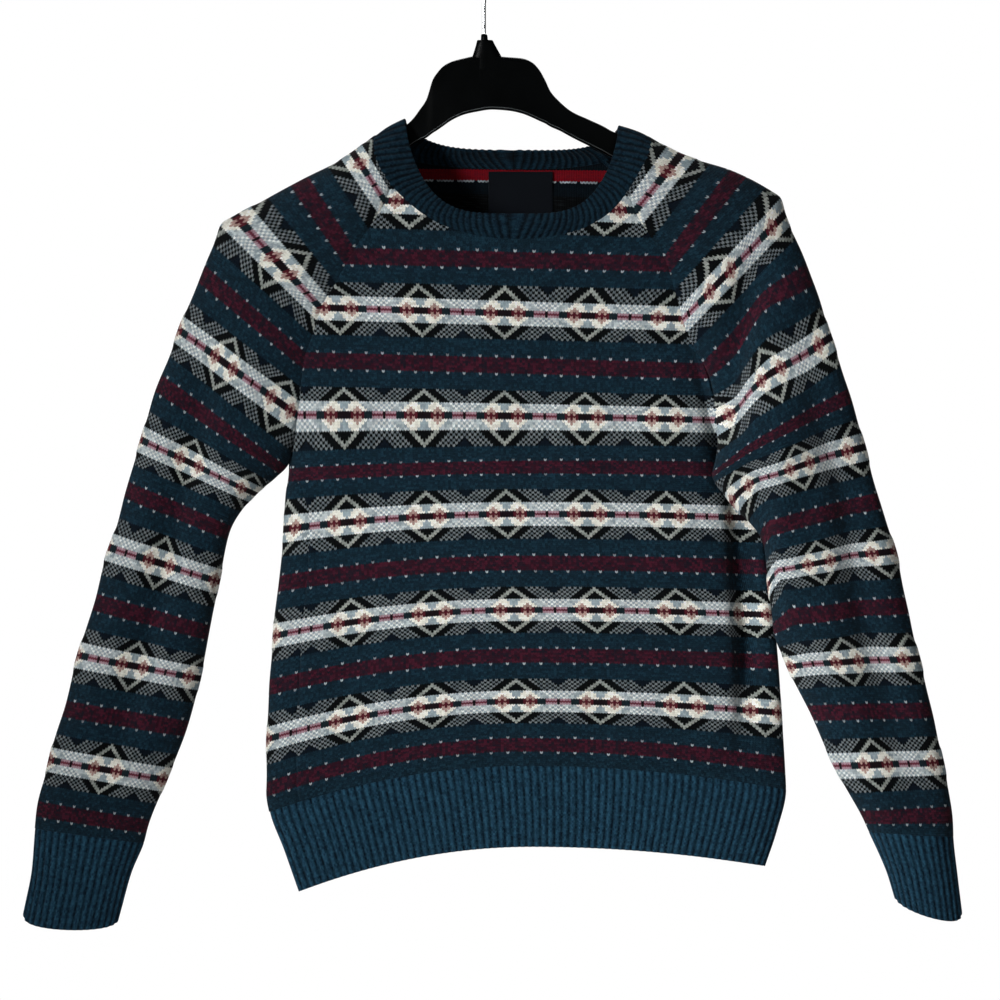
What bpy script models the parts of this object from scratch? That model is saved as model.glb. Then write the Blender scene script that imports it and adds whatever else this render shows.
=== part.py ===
"""A raglan pullover in fair-isle knit, hanging on a moulded coat hanger.

Metres, +Z up. The origin is the inside of the hook's top, where a rail carries it. The front
faces -Y. Left and right are the wearer's, so the left sleeve is at +X. All lengths below are
millimetres, and solid() turns them into metres. A course is one row of knitting, counted up
the garment from the middle of the highest patterned band, and the seams match by course.
"""

import math
from functools import partial

import bmesh
import bpy
import numpy as np

MM = 0.001

PANEL_WALL = 2.2
RIB_WALL = 3.0
COLLAR_WALL = 3.6
LABEL_WALL = 0.8
SEAM_GAP = 0.4

# The courses where a panel ends or changes.
HEM, HEM_RIB_TOP, UNDERARM, YOKE_MIDDLE = -256, -218, -62, 11
CUFF, CUFF_RIB_TOP = -302, -262
FRONT_NECK_CORNER, BACK_NECK_CORNER = 54, 72
FRONT_NECK_DROP, BACK_NECK_DROP = 22, 5.5
CUFF_FRONT_DROP = 14  # the front of a cuff's edge hangs this much lower than its back

PANEL_COLUMNS, SLEEVE_COLUMNS = 20, 22
BODY_FULLNESS = 0.84  # 1 is an ellipse, less is boxier


def table(names, *rows):
    """Columns by name, with the rows in rising order of the first one."""
    return dict(zip(names.split(), np.array(sorted(rows), float).T))


# The trunk as a flattened ring at each course: its two sides, the height of its middle, how far
# the course drops at each side, its depth to front and back, and how far round each seam lies:
# 90 degrees is the very side, and less is round to the front.
BODY = table(
    "course right_x left_x middle_z right_drop left_drop front back right_seam left_seam",
    (-256, -167, 253, -811, 41, 18, 22, 20, 62, 90),
    (-237, -180, 264, -776, 39, 20, 26, 24, 62, 90),
    (-218, -193, 272, -738, 42, 22, 30, 27, 62, 90),
    (-207, -196, 271, -719, 41, 19, 31, 28, 62, 90),
    (-184, -196, 268, -680, 35, 11, 31, 28, 62, 90),
    (-161, -193, 265, -639, 29, 6, 32, 28, 62, 90),
    (-138, -190, 261, -598, 24, 5, 32, 29, 62, 90),
    (-115, -185, 256, -556, 19, 4, 33, 30, 62, 84),
    (-92, -181, 252, -512, 14, 4, 34, 30, 63, 76),
    (-77, -179, 248, -483, 8, 5, 34, 31, 68, 70),
    (-62, -175, 244, -454, 4, 3, 34, 31, 82, 64),
    (-46, -175, 244, -422, 2, 2, 35, 31, 60, 60),
    (-23, -175, 244, -375, 0, 0, 36, 32, 60, 60),
    (0, -175, 244, -328, 0, 0, 37, 33, 60, 60),
    (23, -175, 244, -280, 0, 0, 36, 33, 60, 60),
    (72, -175, 244, -190, 0, 0, 33, 31, 60, 60),
)

# A sleeve as a ring at each course: its outer edge, the seam that closes it or joins it to the
# trunk, its half depth, and how far round the ring the front and the back seam lie.
SLEEVE = "course outer_x outer_z seam_x seam_z seam_y depth front_angle back_angle"
SLEEVES = {
    "right": table(
        SLEEVE,
        (-302, -415, -871, -328, -873, 0, 17, 0, 0),
        (-282, -407, -831, -317, -834, 0, 19, 0, 0),
        (-262, -404, -795, -306, -808, 0, 23, 0, 0),
        (-253, -402, -777, -302, -793, 0, 25, 0, 0),
        (-230, -391, -733, -285, -751, 0, 27, 0, 0),
        (-207, -378, -687, -267, -705, 0, 28, 0, 0),
        (-184, -365, -639, -255, -660, 0, 29, 0, 0),
        (-161, -351, -591, -247, -619, 0, 30, 0, 0),
        (-138, -337, -542, -238, -573, 0, 31, 0, 0),
        (-115, -322, -490, -229, -529, 0, 33, 0, 0),
        (-92, -309, -445, -205, -494, -1, 35, 2, -2),
        (-77, -299, -412, -188, -480, -2, 36, 3, -3),
        (-62, -287, -379, -175, -465, -4, 36, 6, -6),
        (-46, -275, -346, -168, -423, -21, 37, 36, 38),
        (-23, -254, -296, -162, -374, -27, 37, 50, 58),
        (-12, -244, -272, -155, -352, -28, 36, 56, 64),
        (-5, -236, -252, -150, -337, -29, 36, 59, 66),
        (0, -224, -244, -147, -327, -30, 35, 62, 68),
        (11, -196, -228, -134, -305, -30, 34, 65, 70),
        (23, -166, -213, -121, -281, -30, 33, 68, 70),
        (46, -118, -187, -89, -231, -29, 31, 70, 70),
        (58, -99, -173, -81, -210, -28, 29, 70, 70),
        (72, -71, -153, -63, -192, -25, 27, 70, 70),
    ),
    "left": table(
        SLEEVE,
        (-302, 430, -869, 368, -851, -8, 17, 0, 0),
        (-282, 426, -837, 361, -831, -8, 19, 0, 0),
        (-262, 422, -802, 346, -798, -8, 23, 0, 0),
        (-253, 421, -782, 340, -785, -8, 25, 0, 0),
        (-230, 413, -735, 314, -738, -9, 27, 0, 0),
        (-207, 402, -688, 293, -691, -10, 28, 0, 0),
        (-184, 391, -642, 272, -649, -12, 29, 0, 0),
        (-161, 380, -594, 263, -615, -16, 30, -8, 8),
        (-138, 369, -545, 262, -580, -15, 31, -20, 20),
        (-115, 355, -500, 258, -537, -16, 32, -30, 30),
        (-92, 341, -452, 235, -494, -15, 32, -42, 42),
        (-77, 331, -418, 227, -474, -17, 32, -48, 48),
        (-62, 322, -387, 226, -459, -16, 32, -52, 52),
        (-46, 312, -353, 211, -428, -20, 33, -14, 55),
        (-23, 293, -297, 199, -384, -26, 35, 25, 62),
        (-12, 281, -266, 189, -361, -28, 35, 42, 66),
        (0, 271, -242, 179, -337, -30, 35, 55, 70),
        (6, 266, -227, 176, -325, -30, 35, 59, 70),
        (11, 255, -219, 172, -312, -30, 34, 62, 70),
        (23, 228, -206, 165, -288, -30, 33, 66, 70),
        (46, 178, -188, 136, -240, -29, 31, 70, 70),
        (58, 149, -173, 126, -213, -28, 29, 70, 70),
        (72, 121, -159, 108, -193, -25, 27, 70, 70),
    ),
}

# Long soft folds in the trunk's front: where each runs, how wide it is and how deep.
FRONT_FOLDS = (
    {"x": 241, "top": -440, "bottom": -730, "width": 13, "depth": 9},
)

# The collar's free edge is an oval that dips in front.
COLLAR = {
    "middle_x": 25, "half_width": 96, "middle_y": -1, "front": 30, "back": 19,
    "side_z": -159, "tilt": 3, "front_dip": 81, "back_dip": 24, "crown": 3,
}

# The hanger's outline seen from the front, between the two sleeves.
HANGER = table(
    "x top bottom",
    (-71, -163, -186), (-64, -156.5, -180), (-58, -148.5, -176.5), (-52, -139.5, -173.5),
    (-46, -121, -169), (-42, -115, -166.5), (-37, -109.5, -163), (-29, -105, -157.5),
    (-18, -102, -152.5), (-7, -100, -150), (7, -100, -148), (22, -101, -149),
    (34, -102, -151.5), (43, -105.5, -155), (49.5, -112, -158), (55, -121.5, -160.5),
    (60, -132, -163.5), (68, -141, -167), (79, -150, -173), (94, -157, -180.5),
    (107, -163, -187), (116, -168, -192),
)
HANGER_HALF_THICKNESS = 5.5
HANGER_ARM_HEIGHT = {"neck": 27, "tip": 17}
HANGER_INSET = {"shoulder": 5, "collar": 6.5}  # from the cloth's outside to the arm under it
HANGER_TIP_COURSE = 8
HUB = {"tip": -80, "shoulder": -85.5, "foot": -112, "tip_radius": 3, "top_radius": 8, "radius": 13}
HOOK = {"wire": 1.7, "radius": 20, "end_angle": 205}

LABEL = {"x": 33, "width": 58, "top": -206, "height": 38, "inset": 0.5}

NAVY = ((0.010, 0.035, 0.055, 1), 0.9, 0)
TEAL = ((0.014, 0.047, 0.075, 1), 0.9, 0)
LABEL_NAVY = ((0.004, 0.008, 0.018, 1), 0.6, 0)
BLACK_PLASTIC = ((0.004, 0.005, 0.005, 1), 0.35, 0)
STEEL = ((0.45, 0.45, 0.46, 1), 0.3, 1)


def curve(at, places, values):
    """A smooth curve through the values that never swings past them."""
    step = np.diff(places)
    slope = np.diff(values) / step
    tangent = np.zeros(len(places))
    tangent[0], tangent[-1] = slope[0], slope[-1]
    before, after = slope[:-1], slope[1:]
    agree = before * after > 0
    near, far = 2 * step[1:] + step[:-1], step[1:] + 2 * step[:-1]
    mean = (near + far) / (near / np.where(agree, before, 1) + far / np.where(agree, after, 1))
    tangent[1:-1][agree] = mean[agree]
    i = np.clip(np.searchsorted(places, at) - 1, 0, len(step) - 1)
    t = np.clip((at - places[i]) / step[i], 0, 1)
    return (
        (1 + 2 * t) * (1 - t) ** 2 * values[i]
        + t * (1 - t) ** 2 * step[i] * tangent[i]
        + t * t * (3 - 2 * t) * values[i + 1]
        - t * t * (1 - t) * step[i] * tangent[i + 1]
    )


def row_at(columns, course):
    """Every column of a table, read at one course."""
    places = columns["course"]
    return {name: float(curve(course, places, values)) for name, values in columns.items()}


def full(angle):
    """How far forward of the side a ring reaches at an angle, as a share of its depth."""
    c = math.cos(angle)
    return math.copysign(abs(c) ** BODY_FULLNESS, c)


def angle_of(share):
    return math.acos(math.copysign(min(1, abs(share)) ** (1 / BODY_FULLNESS), share))


def sleeve_point(side, course, across):
    """A sleeve's surface, across from its front seam (0) over the outer edge to its back seam (1)."""
    row = row_at(SLEEVES[side], course)
    front = math.radians(row["front_angle"])
    end = 2 * math.pi - math.radians(row["back_angle"])
    outer = np.array([row["outer_x"], row["outer_z"]])
    radius = (np.array([row["seam_x"], row["seam_z"]]) - outer) / (1 + math.cos(front))
    if across < 0.5:
        angle = front + (math.pi - front) * 2 * across
    else:
        angle = end - (end - math.pi) * 2 * (1 - across)
    x, z = outer + radius * (1 + math.cos(angle))
    y = row["seam_y"] + row["depth"] * (math.sin(front) - math.sin(angle))
    if course < CUFF_RIB_TOP:
        z -= CUFF_FRONT_DROP * max(0, math.sin(angle)) * (CUFF_RIB_TOP - course) / (CUFF_RIB_TOP - CUFF)
    return np.array([x, y, z])


def trunk_ends(course, back):
    """Where a panel's two side edges lie at a course, and how far round the trunk each one is."""
    row = row_at(BODY, course)
    middle, half = (row["left_x"] + row["right_x"]) / 2, (row["left_x"] - row["right_x"]) / 2
    depth = row["back"] if back else row["front"]
    ends = []
    for side, turn in (("right", -1), ("left", 1)):
        seam = turn * math.radians(row[f"{side}_seam"])
        if course < UNDERARM:
            drop = row[f"{side}_drop"] * math.sin(seam) ** 2
            x = middle + half * math.sin(seam)
            point = np.array([x, -row["front"] * full(seam), row["middle_z"] - drop])
            angle = seam
        else:
            point = sleeve_point(side, course, 1 if back else 0)
            angle = math.copysign(angle_of(-point[1] / depth), seam)
        ends.append((point, angle + 2 * math.pi if back and side == "right" else angle))
    return row, depth, ends


def trunk_point(course, across, back=False):
    """The trunk's surface, across from its right edge (0) to its left one (1)."""
    row, depth, ((right, start), (left, end)) = trunk_ends(course, back)
    angle = start + (end - start) * across

    def height(angle):
        side = "left_drop" if math.sin(angle) > 0 else "right_drop"
        return row["middle_z"] - row[side] * math.sin(angle) ** 2

    w = (math.sin(angle) - math.sin(start)) / (math.sin(end) - math.sin(start))
    point = right + (left - right) * w

    def depth_at(angle):
        return (row["front"] if math.cos(angle) > 0 else depth) * full(angle)

    point[1] -= depth_at(angle) - (depth_at(start) * (1 - w) + depth_at(end) * w)
    point[2] += height(angle) - (height(start) * (1 - w) + height(end) * w)
    facing = min(1, 2 * max(0, full(angle)))
    if course >= UNDERARM:
        facing *= min(1, 6 * across, 6 * (1 - across))
    point[1] += facing * sum(fold_depth(fold, point[0], point[2]) for fold in FRONT_FOLDS)
    return point


def fold_depth(fold, x, z):
    along = (z - fold["bottom"]) / (fold["top"] - fold["bottom"])
    if not 0 < along < 1:
        return 0.0
    off = (x - fold["x"]) / fold["width"]
    return fold["depth"] * math.sin(math.pi * along) ** 0.5 * math.exp(-off * off)


def neck_course(piece, across):
    """The course at which a piece ends at the collar."""
    if piece == "sleeve":
        return FRONT_NECK_CORNER + (BACK_NECK_CORNER - FRONT_NECK_CORNER) * across**2
    corner, drop = FRONT_NECK_CORNER, FRONT_NECK_DROP
    if piece == "back":
        corner, drop = BACK_NECK_CORNER, BACK_NECK_DROP
    return corner - drop * (1 - (2 * across - 1) ** 2)


def spread(low, high, count):
    return np.linspace(low, high, count + 1)


def panel_grid(point, piece, columns, courses):
    """Courses up to the yoke's middle, then rows that fan out to meet the collar."""
    rows = [[point(course, u) for u in spread(0, 1, columns)] for course in courses]
    for share in spread(0, 1, 4)[1:]:
        rows.append([
            point(YOKE_MIDDLE + (neck_course(piece, u) - YOKE_MIDDLE) * share, u)
            for u in spread(0, 1, columns)
        ])
    return np.array(rows)


def front_point(course, u):
    return trunk_point(course, u)


def back_point(course, u):
    return trunk_point(course, 1 - u, back=True)


YOKE_COURSES = (-62, -50, -37, -23, -12, -4, 4, YOKE_MIDDLE)
TRUNK_COURSES = (-218, -196, -174, -152, -130, -108, -92, -77) + YOKE_COURSES
ARM_COURSES = (-262, -241, -219, -196, -174, -152, -130, -108, -92, -77) + YOKE_COURSES


def collar_grid(outer):
    """The rib band from the neck edge in to its free oval."""
    c = COLLAR
    middle = (outer.max(axis=0) + outer.min(axis=0)) / 2
    half = (outer.max(axis=0) - outer.min(axis=0)) / 2
    inner = []
    for x, y, _ in outer:
        angle = math.atan2((y - middle[1]) / half[1], (x - middle[0]) / half[0])
        across, along = math.cos(angle), math.sin(angle)
        reach, dip = (c["back"], c["back_dip"]) if along > 0 else (c["front"], c["front_dip"])
        inner.append([
            c["middle_x"] + c["half_width"] * math.copysign(abs(across) ** 0.5, across),
            c["middle_y"] + reach * math.copysign(abs(along) ** 0.5, along),
            c["side_z"] - c["tilt"] * across - dip * abs(along) ** 1.4,
        ])
    inner = np.array(inner)
    out = outer - np.array([middle[0], middle[1], 0])
    out[:, 2] = 0
    out /= np.linalg.norm(out, axis=1)[:, None]
    return np.array([
        outer + (inner - outer) * v + out * c["crown"] * math.sin(math.pi * v) for v in spread(0, 1, 3)
    ])


class Cloth:
    """A surface that becomes a wall: neighbours share the slant of their edges, a small gap apart."""

    shared_normals = {}

    def __init__(self, name, grid, wall, finish, flip=False):
        self.name, self.wall, self.finish = name, wall, finish
        self.points, self.keys, self.faces = [], [], []
        index = {}
        rows, columns = grid.shape[:2]
        at = np.empty((rows, columns), int)
        for i in range(rows):
            for j in range(columns):
                key = tuple(np.round(grid[i, j], 3))
                if key not in index:
                    index[key] = len(self.points)
                    self.points.append(grid[i, j])
                    self.keys.append(key)
                at[i, j] = index[key]
        for i in range(rows - 1):
            for j in range(columns - 1):
                face = [at[i, j], at[i, j + 1], at[i + 1, j + 1], at[i + 1, j]]
                face = list(dict.fromkeys(face))
                if len(face) > 2:
                    self.faces.append(face[::-1] if flip else face)
        self.points = np.array(self.points)
        for face in self.faces:
            a, b, c, d = self.points[[face[0], face[1], face[2], face[-1]]]
            normal = np.cross(c - a, d - b)
            for v in face:
                held = self.shared_normals.setdefault(self.keys[v], np.zeros(3))
                held += normal

    def edges(self):
        """The open edges, in the direction of the face that each one belongs to."""
        found = {}
        for face in self.faces:
            for a, b in zip(face, face[1:] + face[:1]):
                found[(a, b)] = True
        return [(a, b) for a, b in found if (b, a) not in found]

    def build(self):
        open_edges = self.edges()
        rim = {v for edge in open_edges for v in edge}
        outward = np.array([self.shared_normals[key] for key in self.keys])
        outward /= np.linalg.norm(outward, axis=1)[:, None]
        middles = np.zeros_like(self.points)
        for face in self.faces:
            middle = self.points[face].mean(axis=0)
            for v in face:
                toward = middle - self.points[v]
                middles[v] += toward / np.linalg.norm(toward)
        back = np.zeros_like(self.points)
        for v in rim:
            toward = middles[v] - outward[v] * middles[v].dot(outward[v])
            back[v] = toward / np.linalg.norm(toward) * SEAM_GAP / 2
        outside = self.points + back
        inside = outside - outward * self.wall
        count = len(outside)
        faces = list(self.faces)
        faces += [[v + count for v in reversed(face)] for face in self.faces]
        faces += [[b, a, a + count, b + count] for a, b in open_edges]
        return solid(self.name, np.vstack([outside, inside]), faces, self.finish)


def material(name, finish):
    colour, roughness, metallic = finish
    made = bpy.data.materials.new(name)
    made.use_nodes = True
    shader = made.node_tree.nodes["Principled BSDF"]
    shader.inputs["Base Color"].default_value = colour
    shader.inputs["Roughness"].default_value = roughness
    shader.inputs["Metallic"].default_value = metallic
    return made


def solid(name, points, faces, finish):
    mesh = bpy.data.meshes.new(name)
    mesh.from_pydata((np.asarray(points) * MM).tolist(), [], [[int(v) for v in face] for face in faces])
    mesh.materials.append(material(name, finish))
    mesh.shade_smooth()
    mesh.set_sharp_from_angle(angle=math.radians(50))
    made = bpy.data.objects.new(name, mesh)
    bpy.context.collection.objects.link(made)
    return made


def make_garment():
    front = panel_grid(front_point, "front", PANEL_COLUMNS, TRUNK_COURSES)
    back = panel_grid(back_point, "back", PANEL_COLUMNS, TRUNK_COURSES)
    arms = {
        side: panel_grid(partial(sleeve_point, side), "sleeve", SLEEVE_COLUMNS, ARM_COURSES)
        for side in SLEEVES
    }
    hem_courses, cuff_courses = (HEM, -237, HEM_RIB_TOP), (CUFF, -282, CUFF_RIB_TOP)
    across = spread(0, 1, PANEL_COLUMNS)
    hem_front = [[front_point(course, u) for u in across] for course in hem_courses]
    hem_back = [[back_point(course, u) for u in across] for course in hem_courses]
    pieces = [
        Cloth("front", front, PANEL_WALL, NAVY),
        Cloth("back", back, PANEL_WALL, NAVY),
        Cloth("hem_rib_front", np.array(hem_front), RIB_WALL, TEAL),
        Cloth("hem_rib_back", np.array(hem_back), RIB_WALL, TEAL),
    ]
    for side, grid in arms.items():
        around = spread(0, 1, SLEEVE_COLUMNS)
        cuff = np.array([[sleeve_point(side, c, u) for u in around] for c in cuff_courses])
        pieces.append(Cloth(f"sleeve_{side}", grid, PANEL_WALL, NAVY, flip=side == "right"))
        pieces.append(Cloth(f"cuff_{side}", cuff, RIB_WALL, TEAL, flip=side == "right"))
    neck = [front[-1], arms["left"][-1], back[-1], arms["right"][-1][::-1]]
    outer = np.vstack([edge[:-1] for edge in neck] + [front[-1][:1]])
    pieces.append(Cloth("neck_rib", collar_grid(outer), COLLAR_WALL, TEAL))
    for piece in pieces:
        piece.build()


def back_inside(x, z, inset):
    """A point in front of the back panel's inner face, at a place seen from the front."""
    course, u = BACK_NECK_CORNER - BACK_NECK_DROP, 0.5
    for _ in range(12):
        point = back_point(course, u)
        course += (z - point[2]) / 2
        u -= (x - point[0]) / 420
    return point - np.array([0, PANEL_WALL + inset, 0])


def make_label():
    low, high = LABEL["x"] - LABEL["width"] / 2, LABEL["x"] + LABEL["width"] / 2
    heights = LABEL["top"] - spread(0, LABEL["height"], 3)[::-1]
    points, faces = [], []
    for inset in (LABEL["inset"], LABEL["inset"] + LABEL_WALL):
        points += [back_inside(x, z, inset) for z in heights for x in spread(low, high, 5)]
    half = len(points) // 2
    grid = [[j, j + 1, j + 7, j + 6] for i in range(3) for j in range(i * 6, i * 6 + 5)]
    faces = [[v + half for v in face] for face in grid] + [face[::-1] for face in grid]
    directed = {(a, b) for face in grid for a, b in zip(face, face[1:] + face[:1])}
    faces += [[b + half, a + half, a, b] for a, b in directed if (b, a) not in directed]
    solid("neck_label", points, faces, LABEL_NAVY)


def arm_stations(side):
    """The hanger's arm under a shoulder, as top and bottom points from its tip in to the neck."""
    stations = []
    for course in (HANGER_TIP_COURSE, 12, 18, 25, 33, 42, 51, 59):
        row, ahead = row_at(SLEEVES[side], course), row_at(SLEEVES[side], course + 1)
        along = np.array([ahead["outer_x"] - row["outer_x"], ahead["outer_z"] - row["outer_z"]])
        along /= np.linalg.norm(along)
        inward = np.array([along[1], -along[0]]) * (1 if side == "right" else -1)
        share = (course - HANGER_TIP_COURSE) / (59 - HANGER_TIP_COURSE)
        inset = HANGER_INSET["shoulder"] + (HANGER_INSET["collar"] - HANGER_INSET["shoulder"]) * share**4
        top = np.array([row["outer_x"], row["outer_z"]]) + inward * inset
        height = HANGER_ARM_HEIGHT["tip"] + (HANGER_ARM_HEIGHT["neck"] - HANGER_ARM_HEIGHT["tip"]) * share
        stations.append((top, top - np.array([0, height])))
    return stations


def make_hanger():
    neck = [
        (np.array([x, top]), np.array([x, bottom]))
        for x, top, bottom in zip(HANGER["x"], HANGER["top"], HANGER["bottom"])
    ]
    stations = arm_stations("right") + neck + arm_stations("left")[::-1]
    points, faces, sides = [], [], 8
    for top, bottom in stations:
        half = np.linalg.norm(top - bottom) / 2
        t = HANGER_HALF_THICKNESS
        for k in range(sides):
            turn = 2 * math.pi * (k + 0.5) / sides
            up = math.copysign(half - t, math.sin(turn)) + t * math.sin(turn)
            x, z = (top + bottom) / 2 + (top - bottom) / 2 * up / half
            points.append([x, t * math.cos(turn), z])
    for i in range(len(stations) - 1):
        for k in range(sides):
            a, b = i * sides + k, i * sides + (k + 1) % sides
            faces.append([a, a + sides, b + sides, b])
    last = (len(stations) - 1) * sides
    faces += [list(range(sides)), [last + k for k in reversed(range(sides))]]
    hanger = solid("hanger", points, faces, BLACK_PLASTIC)

    profile = (
        (0, HUB["tip"]), (HUB["tip_radius"], HUB["tip"] - 1), (HUB["tip_radius"] + 1, HUB["shoulder"]),
        (HUB["top_radius"], HUB["shoulder"] - 1), (HUB["radius"], -99), (HUB["radius"], HUB["foot"]),
        (0, HUB["foot"]),
    )
    mesh = bpy.data.meshes.new("hub")
    shape = bmesh.new()
    ring = [shape.verts.new((r * MM, 0, z * MM)) for r, z in profile]
    spun = [shape.edges.new(pair) for pair in zip(ring, ring[1:])]
    bmesh.ops.spin(shape, geom=ring + spun, cent=(0, 0, 0), axis=(0, 0, 1), angle=2 * math.pi, steps=16)
    bmesh.ops.remove_doubles(shape, verts=shape.verts, dist=0.00001)
    for v in shape.verts:
        v.co.y *= 0.55
    bmesh.ops.recalc_face_normals(shape, faces=shape.faces)
    shape.to_mesh(mesh)
    shape.free()
    hub = bpy.data.objects.new("hub", mesh)
    bpy.context.collection.objects.link(hub)
    hub.hide_render = True
    hub.display_type = "WIRE"
    union = hanger.modifiers.new("hub", "BOOLEAN")
    union.operation = "UNION"
    union.object = hub


def make_hook():
    """Up from the hub, an S bend to one side, then round over the top."""
    wire, radius = HOOK["wire"], HOOK["radius"]
    middle = wire - radius
    bend = middle - math.sqrt(3) * radius
    route = [(0, HUB["tip"] + 0.3), (0, (HUB["tip"] + bend) / 2)]
    route += [
        (radius * (1 - math.cos(a)), bend + radius * math.sin(a)) for a in np.radians(spread(0, 60, 5))
    ]
    route += [
        (radius * math.cos(a), middle + radius * math.sin(a))
        for a in np.radians(spread(-60, HOOK["end_angle"], 20)[1:])
    ]
    path = bpy.data.curves.new("hanger_hook", "CURVE")
    path.dimensions = "3D"
    path.bevel_depth = wire * MM
    path.bevel_resolution = 2
    path.use_fill_caps = True
    spline = path.splines.new("POLY")
    spline.points.add(len(route) - 1)
    for point, (x, z) in zip(spline.points, route):
        point.co = (x * MM, 0, z * MM, 1)
    path.materials.append(material("hanger_hook", STEEL))
    bpy.context.collection.objects.link(bpy.data.objects.new("hanger_hook", path))


for old in list(bpy.data.objects):
    bpy.data.objects.remove(old)
make_garment()
make_label()
make_hanger()
make_hook()
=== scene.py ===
import math

import bpy
import numpy as np
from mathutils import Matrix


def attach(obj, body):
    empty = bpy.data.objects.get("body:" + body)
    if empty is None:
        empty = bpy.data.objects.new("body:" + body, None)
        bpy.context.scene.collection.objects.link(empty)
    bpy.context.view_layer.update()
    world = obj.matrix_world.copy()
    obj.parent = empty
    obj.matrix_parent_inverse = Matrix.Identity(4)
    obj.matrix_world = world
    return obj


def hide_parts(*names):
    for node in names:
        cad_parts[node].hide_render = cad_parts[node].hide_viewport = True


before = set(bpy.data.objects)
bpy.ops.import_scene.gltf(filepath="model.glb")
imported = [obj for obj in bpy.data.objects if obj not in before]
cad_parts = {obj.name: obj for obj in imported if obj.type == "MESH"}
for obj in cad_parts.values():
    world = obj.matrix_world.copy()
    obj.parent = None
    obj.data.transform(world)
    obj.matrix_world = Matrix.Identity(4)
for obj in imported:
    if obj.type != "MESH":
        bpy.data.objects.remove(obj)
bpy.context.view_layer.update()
mm = 0.001
print("frame loaded:", len(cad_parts), "nodes")

cameraView = {"centreX": 0.0144, "centreZ": -0.4995, "width": 0.9, "distance": 8.0, "sensor": 36.0}


def addCamera():
    made = bpy.data.cameras.new("camera")
    made.sensor_width = cameraView["sensor"]
    made.lens = cameraView["sensor"] * cameraView["distance"] / cameraView["width"]
    made.clip_end = 100
    seen = bpy.data.objects.new("camera", made)
    bpy.context.collection.objects.link(seen)
    seen.location = (cameraView["centreX"], -cameraView["distance"], cameraView["centreZ"])
    seen.rotation_euler = (math.radians(90), 0, 0)
    bpy.context.scene.camera = seen


addCamera()


# Courses where a panel ends or changes, and how far its edge then dips.
garment = {
    "hem": -256, "hemRibTop": -218, "sidesFree": -77, "underarm": -62, "yokeMiddle": 11,
    "cuff": -302, "cuffRibTop": -262,
    "gridTop": 56, "frontNeckCorner": 54, "backNeckCorner": 72, "frontNeckDrop": 22, "backNeckDrop": 5.5,
    "cuffFrontDrop": 14, "bodyFullness": 0.84,
    # walls, and what the channels between ribs take of one
    "panelWall": 2.2, "ribWall": 3.0, "collarWall": 3.6, "channel": 0.6,
}


def table(names, *rows):
    return dict(zip(names.split(), np.array(sorted(rows), float).T))


# The trunk as a flattened ring at each course.
body = table(
    "course rightX leftX middleZ rightDrop leftDrop front back rightSeam leftSeam",
    (-256, -167, 253, -811, 41, 18, 22, 20, 62, 90),
    (-237, -180, 264, -776, 39, 20, 26, 24, 62, 90),
    (-218, -193, 272, -738, 42, 22, 30, 27, 62, 90),
    (-207, -196, 271, -719, 41, 19, 31, 28, 62, 90),
    (-184, -196, 268, -680, 35, 11, 31, 28, 62, 90),
    (-161, -193, 265, -639, 29, 6, 32, 28, 62, 90),
    (-138, -190, 261, -598, 24, 5, 32, 29, 62, 90),
    (-115, -185, 256, -556, 19, 4, 33, 30, 62, 84),
    (-92, -181, 252, -512, 14, 4, 34, 30, 63, 76),
    (-77, -179, 248, -483, 8, 5, 34, 31, 68, 70),
    (-62, -175, 244, -454, 4, 3, 34, 31, 82, 64),
    (-46, -175, 244, -422, 2, 2, 35, 31, 60, 60),
    (-23, -175, 244, -375, 0, 0, 36, 32, 60, 60),
    (0, -175, 244, -328, 0, 0, 37, 33, 60, 60),
    (23, -175, 244, -280, 0, 0, 36, 33, 60, 60),
    (72, -175, 244, -190, 0, 0, 33, 31, 60, 60),
)

# A sleeve as a ring at each course: its outer edge, and the seam that closes or joins it.
sleeveNames = "course outerX outerZ seamX seamZ seamY depth frontAngle backAngle"
rightSleeve = table(
    sleeveNames,
    (-302, -415, -871, -328, -873, 0, 17, 0, 0),
    (-282, -407, -831, -317, -834, 0, 19, 0, 0),
    (-262, -404, -795, -306, -808, 0, 23, 0, 0),
    (-253, -402, -777, -302, -793, 0, 25, 0, 0),
    (-230, -391, -733, -285, -751, 0, 27, 0, 0),
    (-207, -378, -687, -267, -705, 0, 28, 0, 0),
    (-184, -365, -639, -255, -660, 0, 29, 0, 0),
    (-161, -351, -591, -247, -619, 0, 30, 0, 0),
    (-138, -337, -542, -238, -573, 0, 31, 0, 0),
    (-115, -322, -490, -229, -529, 0, 33, 0, 0),
    (-92, -309, -445, -205, -494, -1, 35, 2, -2),
    (-77, -299, -412, -188, -480, -2, 36, 3, -3),
    (-62, -287, -379, -175, -465, -4, 36, 6, -6),
    (-46, -275, -346, -168, -423, -21, 37, 36, 38),
    (-23, -254, -296, -162, -374, -27, 37, 50, 58),
    (-12, -244, -272, -155, -352, -28, 36, 56, 64),
    (-5, -236, -252, -150, -337, -29, 36, 59, 66),
    (0, -224, -244, -147, -327, -30, 35, 62, 68),
    (11, -196, -228, -134, -305, -30, 34, 65, 70),
    (23, -166, -213, -121, -281, -30, 33, 68, 70),
    (46, -118, -187, -89, -231, -29, 31, 70, 70),
    (58, -99, -173, -81, -210, -28, 29, 70, 70),
    (72, -71, -153, -63, -192, -25, 27, 70, 70),
)
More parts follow.
